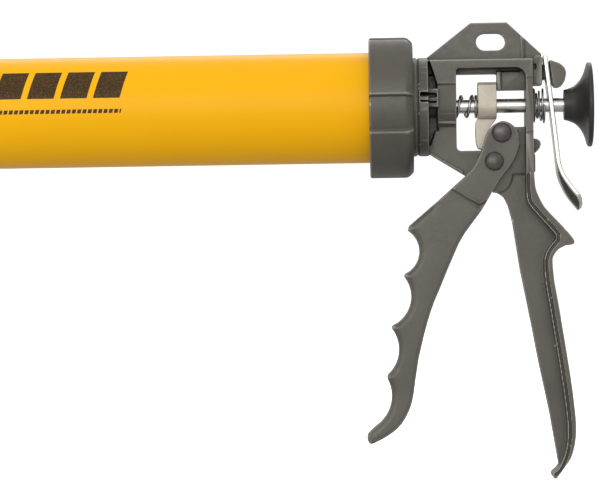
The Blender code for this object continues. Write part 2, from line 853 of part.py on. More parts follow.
def make_rod_group(pivot, finishes):
    tip = [(ROD_FRONT, 0), (ROD_FRONT, ROD_R - 0.6), (ROD_FRONT + 1, ROD_R)]
    rod = turned([*tip, (ROD_REAR, ROD_R), (ROD_REAR, 0)], 32)
    place("push_rod", rod, pivot, finishes["bright_steel"])
    place("pull_knob", knob_solid(), pivot, finishes["black_plastic"])
    stack = (
        ("lock_nut", 6.0),
        ("piston_washer", 1.6),
        ("piston", 11.0),
        ("piston_plate", 2.0),
        ("back_nut", 5.0),
    )
    left = ROD_FRONT + 1.5
    for name, thickness in stack:
        right = left + thickness
        if name.endswith("nut"):
            nut = place(name, hexagon_nut(left, right), pivot, finishes["bright_steel"])
            bore = drill(left - 5, right + 5, BORE_R)
            combine(nut, place(f"cut_{name}", bore, pivot), "DIFFERENCE")
        elif name == "piston":
            place(name, piston_solid(left, right), pivot, finishes["grey_nylon"])
        else:
            radius = PLATE_R if name == "piston_plate" else 10.0
            place(name, disc(left, right, radius), pivot, finishes["bright_steel"])
        left = right + GAP


# ---------------------------------------------------------------- release lever


def lever_line():
    """The bent strip's centreline in side view, from its hook down to the thumb tab's tip."""
    bent = [(71.2, -28.8), (73.2, -34.6), (77.2, -40.6), (81.5, -45.9), (84.6, -49.6)]
    return [(65.3, 24.4), (66.7, 12.0), (68.1, 0.0), (69.9, -16.5), *curve_through(bent, 3)]


def lever_solid(across=8):
    """The strip, its thumb tab dished forwards and rounded at the tip."""
    line = lever_line()
    below = [max(0.0, min(1.0, (-24.0 - z) / 20.0)) for _, z in line]
    tip = line[-1]
    solid = Solid()
    rings = []
    for i, (point, bend) in enumerate(zip(line, below)):
        a, b = line[max(i - 1, 0)], line[min(i + 1, len(line) - 1)]
        run = math.dist(a, b)
        normal = ((b[1] - a[1]) / run, -(b[0] - a[0]) / run)
        from_tip = math.dist(point, tip)
        share = min(1.0, (from_tip + 0.5) / LEVER_TIP)
        half = LEVER_HALF * math.sqrt(1.0 - (1.0 - share) ** 2)
        front, back = [], []
        for k in range(across + 1):
            y = -half + 2 * half * k / across
            dish = LEVER_DISH * bend * (1.0 - (y / LEVER_HALF) ** 2)
            for row, offset in ((front, dish + LEVER_THICK / 2), (back, dish - LEVER_THICK / 2)):
                at = (point[0] + normal[0] * offset, y, point[1] + normal[1] * offset)
                row.append(solid.bm.verts.new(at))
        rings.append([*front, *reversed(back)])
    skin(solid, rings)
    for ring in (rings[0], rings[-1]):
        solid.bm.faces.new(ring)
    return solid.closed()


def make_lever(pivot, material):
    lever = place("release_lever", lever_solid(), pivot, material)
    hole = drill(50, 80, LEVER_HOLE_R)
    window = box_outline(55, 80, 11.6, 21.0)
    for name, solid in (("cut_lever_hole", hole), ("cut_lever_window", prism(window, NECK_HALF + 0.5))):
        combine(lever, place(name, solid, pivot), "DIFFERENCE")
    return lever


# ---------------------------------------------------------------- the whole gun


def build():
    clear_scene()
    finishes = {name: make_material(name) for name in FINISHES}
    datum = make_pivot("rod_datum", (0, 0, 0))
    datum.location = -Vector(PALM_SADDLE) * MM
    barrel_axis = make_pivot("barrel_axis", (BARREL_REAR, 0, 0), datum)
    cap_axis = make_pivot("cap_axis", (BARREL_FRONT, 0, 0), datum)
    trigger_pivot = make_pivot("trigger_pivot", (FULCRUM[0], 0, FULCRUM[1]), datum)
    dog_axis = make_pivot("dog_axis", (DOG_FRONT, 0, 0), datum)
    rod_axis = make_pivot("rod_axis", (ROD_REAR, 0, 0), datum)
    lever_pivot = make_pivot("lever_pivot", (LEVER_PIVOT[0], 0, LEVER_PIVOT[1]), datum)

    grey = finishes["grey_powder_coat"]
    make_casting(datum, grey)
    place("barrel", barrel_solid(), barrel_axis, finishes["yellow_lacquer"])
    place("rear_collar", ring_solid(COLLAR_REAR, COLLAR_REAR - RING_LENGTH, HUB_R + 0.5), barrel_axis, grey)
    place("front_cap", ring_solid(CAP_FRONT, CAP_FRONT + RING_LENGTH, CAP_HOLE_R), cap_axis, grey)
    place("nozzle", nozzle_solid(), cap_axis, finishes["white_plastic"])
    make_trigger(trigger_pivot, grey)
    make_pins(trigger_pivot, finishes)
    make_dog(dog_axis, finishes["tan_sintered_steel"])
    return_span = (RETURN_SEAT + RETURN_WIRE_R, DOG_FRONT - GAP - RETURN_WIRE_R)
    steel = finishes["bright_steel"]
    coil("return_spring", (RETURN_R, RETURN_R), return_span, RETURN_TURNS, RETURN_WIRE_R, datum, steel)
    coil("release_spring", RELEASE_R, RELEASE_X, RELEASE_TURNS, RELEASE_WIRE_R, datum, steel)
    make_lever(lever_pivot, steel)
    make_rod_group(rod_axis, finishes)


build()
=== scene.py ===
"""Looks of the barrel sealant gun: studio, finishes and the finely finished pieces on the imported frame.

Shapes are worked out in the gun's design frame, in millimetres: the push rod's axis is the X axis, X = 0
lies half a millimetre behind the rear collar, +X points back to the knob and +Z is up. DATUM is that
frame's origin in the world.
"""

import math

import bmesh
import bpy
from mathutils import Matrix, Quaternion, Vector
from mathutils.bvhtree import BVHTree


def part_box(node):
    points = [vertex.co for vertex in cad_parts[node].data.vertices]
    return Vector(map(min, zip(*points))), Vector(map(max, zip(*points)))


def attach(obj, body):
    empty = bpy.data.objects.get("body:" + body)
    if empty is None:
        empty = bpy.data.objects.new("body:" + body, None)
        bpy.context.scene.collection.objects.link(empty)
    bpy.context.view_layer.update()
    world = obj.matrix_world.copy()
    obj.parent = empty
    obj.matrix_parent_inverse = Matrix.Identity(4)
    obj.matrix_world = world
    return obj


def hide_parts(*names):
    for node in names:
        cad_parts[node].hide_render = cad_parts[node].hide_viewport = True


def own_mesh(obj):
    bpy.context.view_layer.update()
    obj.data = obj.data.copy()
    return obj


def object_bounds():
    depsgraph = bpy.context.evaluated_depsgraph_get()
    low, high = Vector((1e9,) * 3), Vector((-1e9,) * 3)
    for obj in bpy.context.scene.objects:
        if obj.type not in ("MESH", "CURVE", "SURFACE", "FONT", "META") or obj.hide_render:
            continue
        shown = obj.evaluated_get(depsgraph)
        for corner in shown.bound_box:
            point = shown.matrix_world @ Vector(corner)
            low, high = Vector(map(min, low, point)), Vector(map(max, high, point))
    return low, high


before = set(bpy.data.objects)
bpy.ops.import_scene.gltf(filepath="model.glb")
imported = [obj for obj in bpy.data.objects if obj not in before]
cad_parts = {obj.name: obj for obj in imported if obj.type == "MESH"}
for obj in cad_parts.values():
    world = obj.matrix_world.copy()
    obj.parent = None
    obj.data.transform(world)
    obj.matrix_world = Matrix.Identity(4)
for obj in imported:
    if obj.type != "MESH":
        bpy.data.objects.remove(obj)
cad_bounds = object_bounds()

MM = 0.001
rod_low, rod_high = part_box("push_rod")
DATUM = Vector((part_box("rear_collar")[1].x + 0.5 * MM, 0.0, (rod_low.z + rod_high.z) / 2))

# the camera's place and aim in the design frame, its roll in degrees and its lens in millimetres
EYE = (-12.5, -1500.0, -85.6)
AIM = (-58.05, 0.0, -70.4)
ROLL = 0.83
LENS = 180.2

# each lamp's place from the gun's centre and its size, in metres, and its power in watts
LAMPS = (
    ("key", (-0.25, -1.7, 0.5), (1.8, 1.1), 14.0),
    ("fill", (-1.1, -0.9, 0.3), (0.4, 0.9), 1.5),
    ("rim", (0.0, 1.1, 1.0), (1.4, 0.5), 4.0),
)

# the dome's brightness under the gun, level with it and overhead
DOME_LEVELS = (0.45, 0.66, 0.92)

# the floor's half width in metres, and its depth below the gun in millimetres
FLOOR_REACH = 6.0
FLOOR_DROP = 1.0

# sizes that the frame's boxes do not give, in millimetres
GAP = 0.3
RING_PAD_DEPTH = 2.0
RING_PAD_ANGLE = 59.4
RING_PAD_TURN = 7.7
RING_PAD_WALL = 1.6
RING_EDGE = 2.8
RING_WALL = 2.5
RING_INSIDE_R = 31.0
COLLAR_HOLE_R = 25.1
CAP_HOLE_R = 16.2
BARREL_R = 27.5
BARREL_WALL = 1.5
BULKHEAD_R = 29.5
BULKHEAD_THICK = 3.0
NOZZLE_BASE_R = 15.6
NOZZLE_SHOULDER_R = 11.4
NOZZLE_NECK_R = 9.4
NOZZLE_TIP_R = 3.8
NOZZLE_WALL = 1.6
NOZZLE_FLANGE = 1.7
NOZZLE_BASE_LENGTH = 6
NOZZLE_SHOULDER_LENGTH = 12
NOZZLE_NECK_LENGTH = 22
NOZZLE_RINGS = 5
NOZZLE_RING_PITCH = 12.0
NOZZLE_RING_HEIGHT = 0.45
ROD_R = 3.575
KNOB_FLARE = ((77.0, 8.2), (80.0, 9.6), (82.7, 12.4), (84.6, 16.0), (85.9, 20.2))
KNOB_RIM_X = 86.4
NUT_FLATS = 13.0
FULCRUM = (39.2, -27.9)
DRIVE_PIN = (43.1, -13.8)
EAR_HALF = 10.3
GRIP_HALF = 9.2
GRIP_FRONT_ROUND = 3.6
GRIP_REAR_ROUND = 2.0
GRIP_ROUND_FADE = 6.0
GRIP_ROUND_SHARE = 0.75
FORK_FLOOR = -46.0
HEAD_HEIGHT = 2.6
ROLLER_HALF = 4.8
ROLLER_R = 5.5
ROLLER_BORE_R = 2.8
LEVER_FLAT = ((65.3, 24.4), (66.7, 12.0), (68.1, 0.0), (69.9, -16.5))
LEVER_BEND = ((71.2, -28.8), (73.2, -34.6), (77.2, -40.6), (81.5, -45.9), (84.6, -49.6))
LEVER_THICK = 2.2
LEVER_HALF = 8.0
LEVER_DISH = 4.0
LEVER_DISH_TOP = -24.0
LEVER_DISH_RUN = 22.0
LEVER_TIP = 7.0
LEVER_HOLE_R = 4.7
WINDOW_HALF = 4.5
WINDOW_MIDDLE = 16.3
WINDOW_HEIGHT = 9.4

# the print on the tube: its ends and lean, then each row's pitch, mark length, lower and upper edge
PRINT_SPAN = (-241.0, -144.0)
PRINT_SLANT = 0.25
PRINT_BLOCKS = (16.3, 13.2, 5.6, 20.8)
PRINT_DASHES = (2.6, 1.9, -1.9, 0.1)

# the springs: start, end, radius at the start and the end, turns, flat turns at each end, wire radius
RETURN_COIL = (14.7, 30.7, 5.3, 5.3, 4.2, 0.6, 0.7)
RELEASE_COIL = (60.9, 64.5, 5.5, 8.9, 3.0, 0.5, 0.5)
STEPS_PER_TURN = 40.0


def span(node):
    """Front end, rear end and greatest radius of a turned CAD node about the rod axis, in millimetres."""
    low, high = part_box(node)
    return (low.x - DATUM.x) / MM, (high.x - DATUM.x) / MM, (high.y - low.y) / 2 / MM


def world_point(x, y, z):
    """A point of the design frame in the world's metres."""
    return DATUM + Vector((x, y, z)) * MM


def linked(name, data):
    """A new object at the origin, in the scene."""
    obj = bpy.data.objects.new(name, data)
    bpy.context.scene.collection.objects.link(obj)
    return obj


def new_node(tree, kind, inputs=None, **settings):
    """A node with its settings made, and each input set to a value or linked to another node's output."""
    made = tree.nodes.new(kind)
    for key, value in settings.items():
        setattr(made, key, value)
    for key, value in (inputs or {}).items():
        if isinstance(value, bpy.types.NodeSocket):
            tree.links.new(value, made.inputs[key])
        else:
            made.inputs[key].default_value = value
    return made


# ---------------------------------------------------------------- studio


def make_camera():
    """A long lens, almost square on to the gun's left side and level with the palm saddle."""
    data = bpy.data.cameras.new("camera")
    data.lens = LENS
    data.sensor_width = 36.0
    data.clip_start = 0.05
    data.clip_end = 20.0
    camera = linked("camera", data)
    eye = world_point(*EYE)
    aim = world_point(*AIM)
    turn = (aim - eye).to_track_quat("-Z", "Y")
    camera.rotation_mode = "QUATERNION"
    camera.rotation_quaternion = turn @ Quaternion((0, 0, 1), math.radians(-ROLL))
    camera.location = eye
    bpy.context.scene.camera = camera


def make_lamp(name, at, aim, size, power):
    """A soft rectangular lamp turned towards aim."""
    data = bpy.data.lights.new(name, "AREA")
    data.shape = "RECTANGLE"
    data.size, data.size_y = size
    data.energy = power
    lamp = linked(name, data)
    lamp.location = at
    lamp.rotation_mode = "QUATERNION"
    lamp.rotation_quaternion = (aim - at).to_track_quat("-Z", "Y")


def make_world():
    """White for the eye, and a soft dome for light that darkens towards the floor."""
    world = bpy.data.worlds.new("studio")
    bpy.context.scene.world = world
    world.use_nodes = True
    tree = world.node_tree
    tree.nodes.clear()
    way = new_node(tree, "ShaderNodeTexCoord").outputs["Generated"]
    up = new_node(tree, "ShaderNodeSeparateXYZ", {0: way}).outputs["Z"]
    height = new_node(tree, "ShaderNodeMapRange", {"Value": up, "From Min": -1.0})
    ramp = new_node(tree, "ShaderNodeValToRGB", {"Fac": height.outputs["Result"]})
    stops = ramp.color_ramp.elements
    stops.new(0.5)
    for stop, level in zip(stops, DOME_LEVELS):
        stop.color = (level, level, level, 1)
    dome = new_node(tree, "ShaderNodeBackground", {"Color": ramp.outputs["Color"], "Strength": 1.0})
    seen = new_node(tree, "ShaderNodeBackground", {"Color": (1, 1, 1, 1), "Strength": 1.1})
    to_eye = new_node(tree, "ShaderNodeLightPath").outputs["Is Camera Ray"]
    both = new_node(tree, "ShaderNodeMixShader", {0: to_eye, 1: dome.outputs[0], 2: seen.outputs[0]})
    new_node(tree, "ShaderNodeOutputWorld", {"Surface": both.outputs[0]})


def make_floor():
    """A pale floor that glows a little of its own, and throws no light up on the gun's underside."""
    floor_z = cad_bounds[0].z - FLOOR_DROP * MM
    mesh = bpy.data.meshes.new("floor")
    corners = ((-1, -1), (1, -1), (1, 1), (-1, 1))
    mesh.from_pydata([(x * FLOOR_REACH, y * FLOOR_REACH, floor_z) for x, y in corners], [], [(0, 1, 2, 3)])
    floor = linked("floor", mesh)
    material = bpy.data.materials.new("pale_floor")
    material.use_nodes = True
    shader = material.node_tree.nodes["Principled BSDF"]
    shader.inputs["Base Color"].default_value = (0.9, 0.9, 0.9, 1)
    shader.inputs["Roughness"].default_value = 0.9
    shader.inputs["Specular IOR Level"].default_value = 0.1
    shader.inputs["Emission Color"].default_value = (1.0, 1.0, 1.0, 1)
    shader.inputs["Emission Strength"].default_value = 0.75
    mesh.materials.append(material)
    floor.visible_diffuse = False
    floor.visible_glossy = False


def make_studio():
    """Plain soft light from a dome and three lamps, over a pale floor."""
    bpy.context.scene.view_settings.view_transform = "Standard"
    make_world()
    centre = (cad_bounds[0] + cad_bounds[1]) / 2
    for name, place, size, power in LAMPS:
        make_lamp(name, centre + Vector(place), centre, size, power)
    make_floor()


# ---------------------------------------------------------------- finishes


class Finish:
    """A Principled material on Object coordinates, with the node steps that the gun's finishes share."""

    def __init__(self, name, **sockets):
        self.material = bpy.data.materials.new(name)
        self.material.use_nodes = True
        self.tree = self.material.node_tree
        self.shader = self.tree.nodes["Principled BSDF"]
        for socket, value in sockets.items():
            self.shader.inputs[socket.replace("_", " ")].default_value = value
        self.coords = self.tree.nodes.new("ShaderNodeTexCoord").outputs["Object"]

    def node(self, kind, inputs=None, **settings):
        """The first output of a new node."""
        return new_node(self.tree, kind, inputs, **settings).outputs[0]

    def link(self, output, socket):
        """Feeds an output to one of the shader's own sockets."""
        self.tree.links.new(output, self.shader.inputs[socket])

    def stretched(self, scale):
        """Coordinates scaled by axis, for a grain that runs one way."""
        return self.node("ShaderNodeMapping", {"Vector": self.coords, "Scale": scale})

    def noise(self, scale, detail=3.0, rough=0.55, vector=None):
        """Soft noise with scale features to the metre."""
        sizes = {"Vector": vector or self.coords, "Scale": scale, "Detail": detail, "Roughness": rough}
        return self.node("ShaderNodeTexNoise", sizes)

    def ranged(self, value, low, high, start=0.3, end=0.7):
        """The value's run from start to end, turned into one from low to high."""
        sizes = {"Value": value, "From Min": start, "From Max": end, "To Min": low, "To Max": high}
        return self.node("ShaderNodeMapRange", sizes)

    def maths(self, operation, a, b):
        return self.node("ShaderNodeMath", {0: a, 1: b}, operation=operation)

    def blend(self, share, a, b):
        """Colour a where share is 0 and colour b where it is 1."""
        made = new_node(self.tree, "ShaderNodeMix", {0: share, 6: a, 7: b}, data_type="RGBA")
        return made.outputs[2]

    def edge_wear_and_painted_highlight(self, grain):
        """Up to one along the rounded edges of a piece, broken up by a grain; a mask for edge wear that also
        paints a highlight along every edge.
        """
        pointed = self.tree.nodes.new("ShaderNodeNewGeometry").outputs["Pointiness"]
        crest = self.ranged(pointed, 0.0, 1.0, 0.515, 0.565)
        return self.maths("MULTIPLY", crest, self.ranged(grain, 0.55, 1.0))

    def painted_shade_in_hollows(self, reach):
        """Painted shade: one in the open, less in the piece's own corners and grooves, as ambient occlusion
        finds them.
        """
        inputs = {"Distance": reach}
        shade = new_node(self.tree, "ShaderNodeAmbientOcclusion", inputs, samples=4, only_local=True)
        return self.ranged(shade.outputs["AO"], 0.0, 1.0, 0.3, 0.8)

    def tones(self, share, dark, light):
        """The base colour runs from dark to light."""
        self.link(self.blend(share, (*dark, 1.0), (*light, 1.0)), "Base Color")

    def bump(self, *heights):
        """Bumps of (height, strength, depth in metres), one on top of the other."""
        normal = None
        for height, strength, depth in heights:
            inputs = {"Height": height, "Strength": strength, "Distance": depth}
            if normal:
                inputs["Normal"] = normal
            normal = self.node("ShaderNodeBump", inputs)
        self.link(normal, "Normal")


def powder_coat():
    """Warm dark grey satin coat on a die casting: orange peel, metal fleck, worn edges that also carry a
    painted highlight, and painted shade in the corners.
    """
    coat = Finish("grey_powder_coat", Metallic=0.25, Specular_IOR_Level=0.45)
    cloud = coat.noise(38.0, 4.0)
    fleck = coat.noise(2600.0, 2.0, 0.7)
    share = coat.maths("ADD", coat.ranged(cloud, 0.0, 0.6), coat.ranged(fleck, -0.2, 0.4, 0.35, 0.7))
    body = coat.blend(share, (0.082, 0.075, 0.062, 1.0), (0.120, 0.110, 0.091, 1.0))
    # painted highlight and wear: the rounded edges are lightened towards a pale grey, broken up by the fleck
    worn_and_highlit_edges = coat.blend(coat.edge_wear_and_painted_highlight(fleck), body, (0.46, 0.44, 0.39, 1.0))
    # painted shade: the corners and grooves are darkened to near black by ambient occlusion, over the edges
    # and the body colour
    coat.link(coat.blend(coat.painted_shade_in_hollows(0.005), (0.016, 0.013, 0.010, 1.0), worn_and_highlit_edges), "Base Color")
    coat.link(coat.ranged(coat.noise(300.0), 0.36, 0.48), "Roughness")
    coat.bump((coat.noise(620.0, 2.0), 0.12, 0.0002), (fleck, 0.06, 0.0001))
    return coat.material


def lacquer():
    """Golden yellow gloss lacquer on the tube, with a printed row of slanted blocks over a dashed rule."""
    coat = Finish("yellow_lacquer", Coat_Weight=0.02, Coat_Roughness=0.25, Specular_IOR_Level=0.12)
    cloud = coat.ranged(coat.noise(9.0, 3.0), 0.0, 1.0)
    yellow = coat.blend(cloud, (0.88, 0.425, 0.0015, 1.0), (0.92, 0.455, 0.0025, 1.0))
    mottle = coat.ranged(coat.noise(1900.0, 2.0), 0.82, 1.0, 0.25, 0.5)
    ink = coat.maths("MULTIPLY", barrel_print(coat), mottle)
    coat.link(coat.blend(ink, yellow, (0.045, 0.026, 0.012, 1.0)), "Base Color")
    coat.link(coat.ranged(coat.noise(140.0), 0.32, 0.40), "Roughness")
    coat.bump((coat.noise(260.0, 2.0), 0.05, 0.0002), (ink, 0.15, 0.00003))
    return coat.material


def barrel_print(coat):
    """One where the tube's left side is printed: blocks of the same slant and height, then a thin rule."""
    centre = coat.node("ShaderNodeMapping", {"Vector": coat.coords, "Location": tuple(-v for v in DATUM)})
    parts = coat.tree.nodes.new("ShaderNodeSeparateXYZ")
    coat.tree.links.new(centre, parts.inputs[0])
    along, right, up = parts.outputs
    turn = coat.maths("ARCTAN2", up, coat.maths("MULTIPLY", right, -1.0))
    height = coat.maths("MULTIPLY", turn, BARREL_R * MM)
    lean = coat.maths("ADD", along, coat.maths("MULTIPLY", height, -PRINT_SLANT))

    def inside(value, low, high):
        above = coat.maths("GREATER_THAN", value, low * MM)
        return coat.maths("MULTIPLY", above, coat.maths("LESS_THAN", value, high * MM))

    def row(pitch, filled, low, high):
        start = coat.maths("ADD", lean, -PRINT_SPAN[0] * MM)
        phase = coat.maths("FLOORED_MODULO", start, pitch * MM)
        marks = coat.maths("LESS_THAN", phase, filled * MM)
        return coat.maths("MULTIPLY", marks, inside(height, low, high))

    blocks = coat.maths("MAXIMUM", row(*PRINT_BLOCKS), row(*PRINT_DASHES))
    return coat.maths("MULTIPLY", blocks, inside(lean, *PRINT_SPAN))


def bright_rod():
    """Centreless-ground bright rod: fine rings of grinding and faint streaks along it."""
    steel = Finish("bright_rod", Metallic=1.0)
    rings = steel.noise(1.0, 3.0, 0.6, steel.stretched((2400.0, 30.0, 30.0)))
    streaks = steel.noise(1.0, 3.0, 0.6, steel.stretched((12.0, 900.0, 900.0)))
    steel.tones(steel.ranged(streaks, 0.0, 1.0), (0.62, 0.61, 0.57), (0.76, 0.75, 0.70))
    steel.link(steel.ranged(rings, 0.26, 0.38), "Roughness")
    steel.bump((rings, 0.05, 0.00005))
    return steel.material


def plated_strip():
    """Bright nickel plate on the bent strip lever, with rolling streaks along its length."""
    plate = Finish("plated_strip", Metallic=1.0)
    streaks = plate.noise(1.0, 4.0, 0.6, plate.stretched((500.0, 1500.0, 20.0)))
    cloud = plate.noise(90.0, 3.0)
    plate.tones(plate.ranged(cloud, 0.0, 1.0), (0.58, 0.57, 0.53), (0.70, 0.69, 0.64))
    plate.link(plate.ranged(streaks, 0.24, 0.32), "Roughness")
    plate.bump((streaks, 0.02, 0.00003))
    return plate.material


def spring_wire():
    """Drawn spring wire, a little darker than the plated parts."""
    wire = Finish("spring_steel", Metallic=1.0)
    drawn = wire.noise(1.0, 3.0, 0.6, wire.stretched((900.0, 300.0, 300.0)))
    wire.tones(wire.ranged(drawn, 0.0, 1.0), (0.36, 0.35, 0.33), (0.52, 0.51, 0.48))
    wire.link(wire.ranged(drawn, 0.24, 0.36), "Roughness")
    return wire.material


def sintered_steel():
    """Tan passivated sintered steel: matt, with the fine open grain of pressed powder."""
    steel = Finish("tan_sintered_steel", Metallic=0.45)
    grain = steel.noise(1500.0, 3.0, 0.7)
    cloud = steel.noise(110.0, 3.0)
    share = steel.maths("ADD", steel.ranged(cloud, 0.0, 0.6), steel.ranged(grain, -0.1, 0.4))
    steel.tones(share, (0.42, 0.375, 0.30), (0.60, 0.54, 0.45))
    steel.link(steel.ranged(grain, 0.42, 0.58), "Roughness")
    steel.bump((grain, 0.12, 0.0001))
    return steel.material


def rivet_coat():
    """Dark phosphated rivet steel, a little cloudy in tone."""
    steel = Finish("dark_rivet", Metallic=0.65)
    cloud = steel.noise(420.0, 3.0)
    steel.tones(steel.ranged(cloud, 0.0, 1.0), (0.085, 0.074, 0.068), (0.13, 0.115, 0.105))
    steel.link(steel.ranged(steel.noise(900.0), 0.33, 0.45), "Roughness")
    steel.bump((steel.noise(700.0, 2.0), 0.08, 0.0001))
    return steel.material


def moulded_knob():
    """Black moulded plastic with a faint spark-eroded grain."""
    plastic = Finish("black_plastic", Specular_IOR_Level=0.32)
    cloud = plastic.noise(60.0, 3.0)
    plastic.tones(plastic.ranged(cloud, 0.0, 1.0), (0.026, 0.022, 0.020), (0.038, 0.033, 0.030))
    plastic.link(plastic.ranged(plastic.noise(500.0), 0.32, 0.42), "Roughness")
    plastic.bump((plastic.noise(1400.0, 2.0, 0.7), 0.06, 0.0001))
    return plastic.material


def nozzle_plastic():
    """Milky moulded polyethylene that lets a little light into its wall."""
    softness = {"Subsurface_Weight": 0.25, "Subsurface_Scale": 0.004}
    plastic = Finish("nozzle_plastic", Specular_IOR_Level=0.45, **softness)
    cloud = plastic.noise(45.0, 3.0)
    plastic.tones(plastic.ranged(cloud, 0.0, 1.0), (0.74, 0.73, 0.69), (0.80, 0.79, 0.75))
    plastic.link(plastic.ranged(plastic.noise(400.0), 0.34, 0.44), "Roughness")
    plastic.bump((plastic.noise(900.0, 2.0), 0.04, 0.0001))
    return plastic.material


def zinc_plate():
    """Zinc plate on the nuts and discs, with its cloudy bright patches."""
    zinc = Finish("zinc_fasteners", Metallic=1.0)
    cloud = zinc.noise(160.0, 4.0)
    zinc.tones(zinc.ranged(cloud, 0.0, 1.0), (0.52, 0.53, 0.53), (0.68, 0.68, 0.66))
    zinc.link(zinc.ranged(zinc.noise(700.0), 0.26, 0.40), "Roughness")
    zinc.bump((cloud, 0.05, 0.0001))
    return zinc.material


def piston_nylon():
    """Grey moulded nylon."""
    nylon = Finish("piston_nylon", Specular_IOR_Level=0.45, Subsurface_Weight=0.1, Subsurface_Scale=0.002)
    cloud = nylon.noise(70.0, 3.0)
    nylon.tones(nylon.ranged(cloud, 0.0, 1.0), (0.38, 0.39, 0.39), (0.46, 0.47, 0.47))
    nylon.link(nylon.ranged(nylon.noise(500.0), 0.40, 0.52), "Roughness")
    nylon.bump((nylon.noise(1100.0, 2.0), 0.05, 0.0001))
    return nylon.material


# ---------------------------------------------------------------- shaping


def smooth_step(value):
    """Rises smoothly from 0 to 1 as the value does, and stays there outside."""
    value = max(0.0, min(1.0, value))
    return value * value * (3 - 2 * value)


def show(name, mesh, body, nodes, material):
    """A finished piece: it rides on its body and stands for its CAD nodes."""
    obj = linked(name, mesh)
    mesh.materials.clear()
    mesh.materials.append(material)
    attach(obj, body)
    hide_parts(*nodes)
    return obj


def mesh_of(name, bm, sharp=40.0):
    """A bmesh in design millimetres becomes a smooth-shaded mesh in the world's metres."""
    bmesh.ops.remove_doubles(bm, verts=bm.verts, dist=1e-4)
    bmesh.ops.recalc_face_normals(bm, faces=bm.faces)
    for vert in bm.verts:
        vert.co = world_point(*vert.co)
    mesh = bpy.data.meshes.new(name)
    bm.to_mesh(mesh)
    bm.free()
    mesh.shade_smooth()
    mesh.set_sharp_from_angle(angle=math.radians(sharp))
    return mesh


def welded_copy(node):
    """The CAD node's triangles as one closed mesh with its flat faces whole again."""
    bm = bmesh.new()
    bm.from_mesh(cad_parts[node].data)
    bmesh.ops.remove_doubles(bm, verts=bm.verts, dist=2e-6)
    bmesh.ops.dissolve_limit(bm, angle_limit=math.radians(1.0), verts=bm.verts, edges=bm.edges)
    mesh = bpy.data.meshes.new(f"{node}_copy")
    bm.to_mesh(mesh)
    bm.free()
    return mesh


def baked(obj):
    """The object's evaluated mesh, with its modifiers gone and the object removed."""
    graph = bpy.context.evaluated_depsgraph_get()
    mesh = bpy.data.meshes.new_from_object(obj.evaluated_get(graph))
    bpy.data.objects.remove(obj, do_unlink=True)
    return mesh


def cast_finish(mesh, voxel, passes):
    """Rounds every edge and fillets every corner, as in a die casting."""
    obj = linked("casting_blank", mesh)
    remesh = obj.modifiers.new("remesh", "REMESH")
    remesh.mode = "VOXEL"
    remesh.voxel_size = voxel * MM
    remesh.use_smooth_shade = True
    smooth = obj.modifiers.new("smooth", "SMOOTH")
    smooth.factor = 0.5
    smooth.iterations = passes
    return baked(obj)


def thinned(mesh, flat):
    """The mesh with its stretches that are flat within an angle in degrees joined into large faces."""
    obj = linked("dense", mesh)
    thin = obj.modifiers.new("thin", "DECIMATE")
    thin.decimate_type = "DISSOLVE"
    thin.angle_limit = math.radians(flat)
    return baked(obj)


def curve_through(points, steps):
    """A smooth Catmull-Rom curve through the points, with the given steps between each two."""
    padded = [points[0], *points, points[-1]]
    out = []
    for a, b, c, d in zip(padded, padded[1:], padded[2:], padded[3:]):
        for i in range(steps):
            t = i / steps
            point = []
            for p, q, r, s in zip(a, b, c, d):
                curve = 2 * q + (r - p) * t + (2 * p - 5 * q + 4 * r - s) * t**2
                point.append(0.5 * (curve + (3 * q - p - 3 * r + s) * t**3))
            out.append(tuple(point))
    return [*out, tuple(points[-1])]


def sleeve(start, end, bore, radius):
    """The closed profile of a plain sleeve or disc with a hole."""
    return [(start, bore), (start, radius), (end, radius), (end, bore)]


def rounded(profile, radius=0.5, steps=4):
    """The closed profile with its corners eased by small arcs.

    A point is (x, radius), or (x, radius, size of its arc). On the axis, or with a size of 0, it stays sharp.
    """
    out = []
    for i, (x, r, *own) in enumerate(profile):
        corner = Vector((x, r))
        size = own[0] if own else radius
        if r == 0 or size == 0:
            out.append((x, r))
            continue
        arms = []
        for other in (profile[i - 1], profile[(i + 1) % len(profile)]):
            arm = Vector(other[:2]) - corner
            reach = min(size, arm.length * 0.42)
            arms.append(arm.normalized() * reach)
        start, end = arms
        out.append(tuple(corner + start * 1.15))
        for k in range(steps + 1):
            t = k / steps
            out.append(tuple(corner + start * (1 - t) ** 2 + end * t**2))
        out.append(tuple(corner + end * 1.15))
    return out


def stepped(profile, steps):
    """The closed profile with each side cut into equal steps."""
    out = []
    for (x, r), (next_x, next_r) in zip(profile, profile[1:] + profile[:1]):
        for k in range(steps):
            t = k / steps
            out.append((x + (next_x - x) * t, r + (next_r - r) * t))
    return out


def turned(profile, steps, reach=None):
    """A closed profile of (x, radius) turned about the rod axis; reach(x, radius, angle) may trim it."""
    bm = bmesh.new()
    rings = []
    for x, radius in profile:
        if radius == 0:
            rings.append([bm.verts.new((x, 0, 0))])
            continue
        ring = []
        for i in range(steps):
            a = 2 * math.pi * i / steps
            r = reach(x, radius, math.degrees(a)) if reach else radius
            ring.append(bm.verts.new((x, -r * math.cos(a), r * math.sin(a))))
        rings.append(ring)
    for a, b in zip(rings, rings[1:] + rings[:1]):
        count = max(len(a), len(b))
        for i in range(count if count > 1 else 0):
            j = (i + 1) % count
            corners = [a[i % len(a)], a[j % len(a)], b[j % len(b)], b[i % len(b)]]
            face = list(dict.fromkeys(corners))
            if len(face) > 2:
                bm.faces.new(face)
    return bm


def across(bm, centre):
    """The turned piece laid along Y through a point of the XZ plane."""
    for vert in bm.verts:
        x, y, z = vert.co
        vert.co = (centre[0] - y, x, centre[1] + z)
    return bm


